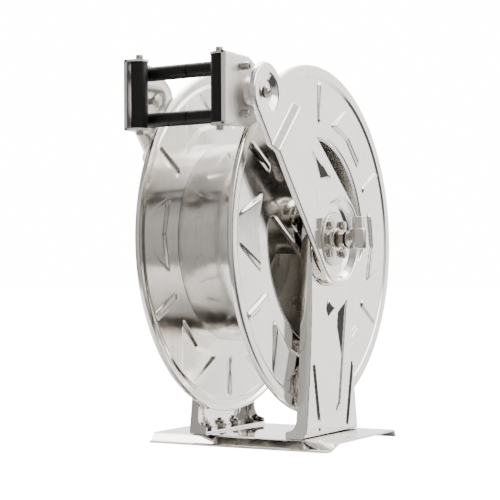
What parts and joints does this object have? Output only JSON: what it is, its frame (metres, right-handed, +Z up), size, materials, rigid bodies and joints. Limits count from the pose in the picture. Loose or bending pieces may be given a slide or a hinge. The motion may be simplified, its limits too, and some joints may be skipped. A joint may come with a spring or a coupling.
{
  "type": "hose reel",
  "caption": "Spring-driven hose reel in polished stainless steel on two pressed pedestals, with tilting arms that carry a roller guide head and a swivelling inlet.",
  "frame": {"origin": "on the floor, under the middle of the whole reel's box; the axle is 9.6 mm behind it and 307 mm above it", "axes": "+X along the axle towards the inlet, -Y towards the roller guide where the hose leaves, +Z up"},
  "size_m": [0.316, 0.5492, 0.572],
  "materials": {
    "polished_steel": "mirror-polished stainless sheet",
    "satin_steel": "satin stainless",
    "fastener_steel": "plain stainless fasteners",
    "spring_steel": "oiled blue-grey spring steel",
    "black_nylon": "satin black nylon",
    "brass": "dull plated brass",
    "bronze": "plain sintered bronze"
  },
  "bodies": {
    "stand": {"base_plate": "polished_steel", "near_pedestal": "polished_steel", "far_pedestal": "polished_steel", "near_foot_bolt_1": "fastener_steel", "near_foot_bolt_2": "fastener_steel", "near_foot_bolt_3": "fastener_steel", "near_foot_bolt_4": "fastener_steel", "far_foot_bolt_1": "fastener_steel", "far_foot_bolt_2": "fastener_steel", "far_foot_bolt_3": "fastener_steel", "far_foot_bolt_4": "fastener_steel", "near_bearing_housing": "satin_steel", "far_bearing_housing": "satin_steel", "near_bush": "bronze", "far_bush": "bronze", "near_hub_bolt_top_front": "fastener_steel", "near_hub_bolt_top_rear": "fastener_steel", "near_hub_bolt_low_front": "fastener_steel", "near_hub_bolt_low_rear": "fastener_steel", "far_hub_bolt_top_front": "fastener_steel", "far_hub_bolt_top_rear": "fastener_steel", "far_hub_bolt_low_front": "fastener_steel", "far_hub_bolt_low_rear": "fastener_steel", "pawl_pin": "fastener_steel", "pawl_spring": "spring_steel"},
    "reel": {"near_flange": "polished_steel", "far_flange": "polished_steel", "drum_shell": "satin_steel", "hub_spider": "satin_steel", "spring_case": "satin_steel", "spring_cover": "satin_steel", "mainspring": "spring_steel", "reel_shaft": "satin_steel", "outlet_pipe": "satin_steel", "ratchet_wheel": "fastener_steel", "swivel_stem": "brass", "swivel_nut": "fastener_steel"},
    "inlet": {"swivel_seal": "black_nylon", "inlet_elbow": "satin_steel"},
    "arms": {"near_arm": "polished_steel", "far_arm": "polished_steel", "near_pivot_bolt": "fastener_steel", "far_pivot_bolt": "fastener_steel", "near_pivot_disc": "polished_steel", "far_pivot_disc": "polished_steel", "near_friction_washer": "black_nylon", "far_friction_washer": "black_nylon"},
    "guide_head": {"near_side_plate": "polished_steel", "far_side_plate": "polished_steel", "upper_rod": "fastener_steel", "lower_rod": "fastener_steel", "near_roller_bolt": "fastener_steel", "far_roller_bolt": "fastener_steel"},
    "pawl": {"pawl": "fastener_steel"},
    "upper_roller_near_body": {"upper_roller_near": "black_nylon"},
    "upper_roller_far_body": {"upper_roller_far": "black_nylon"},
    "lower_roller_near_body": {"lower_roller_near": "black_nylon"},
    "lower_roller_far_body": {"lower_roller_far": "black_nylon"},
    "near_upright_roller_body": {"near_upright_roller": "black_nylon"},
    "far_upright_roller_body": {"far_upright_roller": "black_nylon"}
  },
  "joints": [
    {"name": "reel_spin", "type": "hinge", "parent": "stand", "child": "reel", "pos_m": [0, 0.0096, 0.307], "axis": [1, 0, 0], "continuous": true},
    {"name": "inlet_swivel", "type": "hinge", "parent": "stand", "child": "inlet", "pos_m": [0, 0.0096, 0.307], "axis": [1, 0, 0], "continuous": true},
    {"name": "arm_tilt", "type": "hinge", "parent": "stand", "child": "arms", "pos_m": [0, 0.0096, 0.307], "axis": [1, 0, 0], "range_deg": [-25, 25]},
    {"name": "guide_head_tilt", "type": "hinge", "parent": "arms", "child": "guide_head", "pos_m": [0, -0.19757, 0.50706], "axis": [1, 0, 0], "range_deg": [-60, 15]},
    {"name": "upper_roller_near_spin", "type": "hinge", "parent": "guide_head", "child": "upper_roller_near_body", "pos_m": [0, -0.23357, 0.54006], "axis": [1, 0, 0], "continuous": true},
    {"name": "upper_roller_far_spin", "type": "hinge", "parent": "guide_head", "child": "upper_roller_far_body", "pos_m": [0, -0.23357, 0.54006], "axis": [1, 0, 0], "continuous": true},
    {"name": "lower_roller_near_spin", "type": "hinge", "parent": "guide_head", "child": "lower_roller_near_body", "pos_m": [0, -0.23357, 0.47406], "axis": [1, 0, 0], "continuous": true},
    {"name": "lower_roller_far_spin", "type": "hinge", "parent": "guide_head", "child": "lower_roller_far_body", "pos_m": [0, -0.23357, 0.47406], "axis": [1, 0, 0], "continuous": true},
    {"name": "near_upright_roller_spin", "type": "hinge", "parent": "guide_head", "child": "near_upright_roller_body", "pos_m": [0.0655, -0.25957, 0.50706], "axis": [0, 0, 1], "continuous": true},
    {"name": "far_upright_roller_spin", "type": "hinge", "parent": "guide_head", "child": "far_upright_roller_body", "pos_m": [-0.0655, -0.25957, 0.50706], "axis": [0, 0, 1], "continuous": true},
    {"name": "pawl_swing", "type": "hinge", "parent": "stand", "child": "pawl", "pos_m": [0, -0.01776, 0.23182], "axis": [1, 0, 0], "range_deg": [-10, 0], "stiffness_Nm_per_rad": 0.5, "springref_deg": 11.46}
  ]
}
